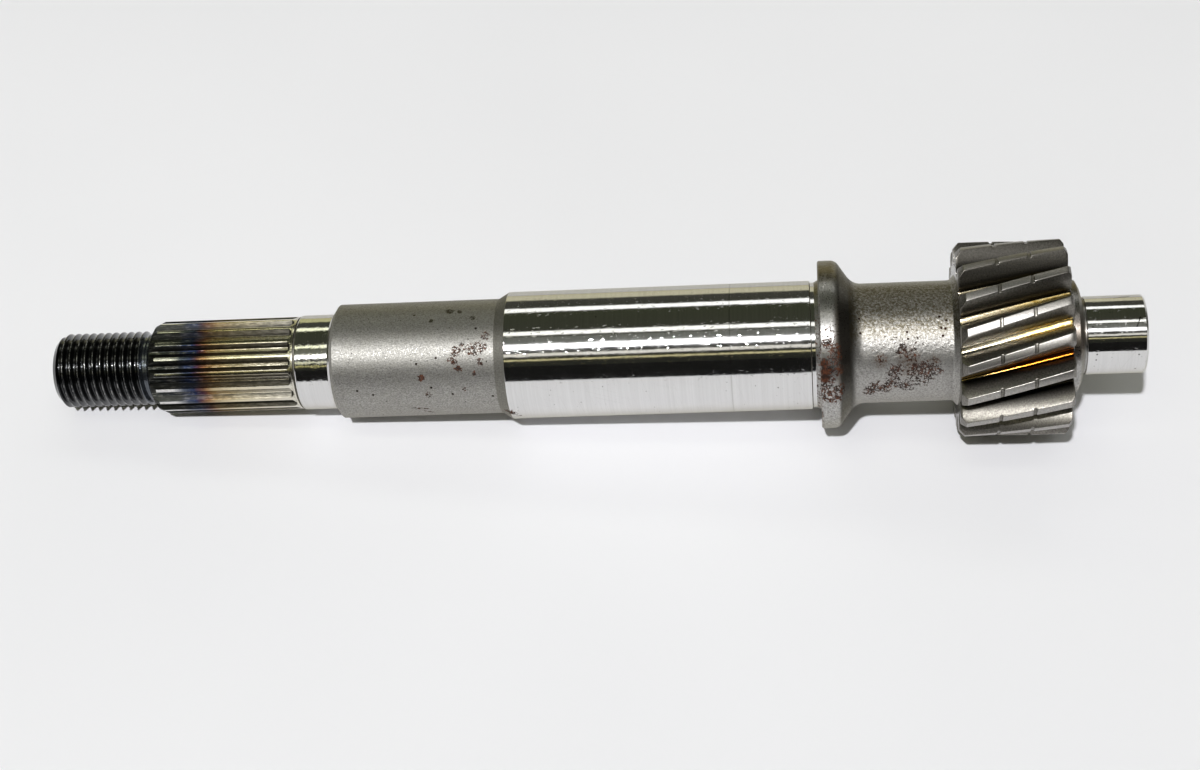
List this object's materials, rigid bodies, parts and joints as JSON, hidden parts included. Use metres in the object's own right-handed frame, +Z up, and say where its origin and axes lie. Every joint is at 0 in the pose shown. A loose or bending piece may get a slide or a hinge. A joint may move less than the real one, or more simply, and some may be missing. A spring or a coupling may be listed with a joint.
{
  "type": "transmission shaft",
  "caption": "Steel gearbox input shaft in one piece with a left-hand helical pinion, thrust collar, ground bearing journals, splined section and threaded end.",
  "frame": {"origin": "on the shaft's axis, in the middle of the 20 mm main journal", "axes": "+X along the shaft from the threaded end to the pinion and the end journal, +Z up as the shaft lies, the axis of the shaft is the X axis"},
  "size_m": [0.1705, 0.0298, 0.0298],
  "materials": {
    "steel": "ground journals, satin turned body, blasted neck, heat tinted spline, blackened thread and light rust"
  },
  "bodies": {
    "root": {"shaft": "steel"}
  },
  "joints": []
}
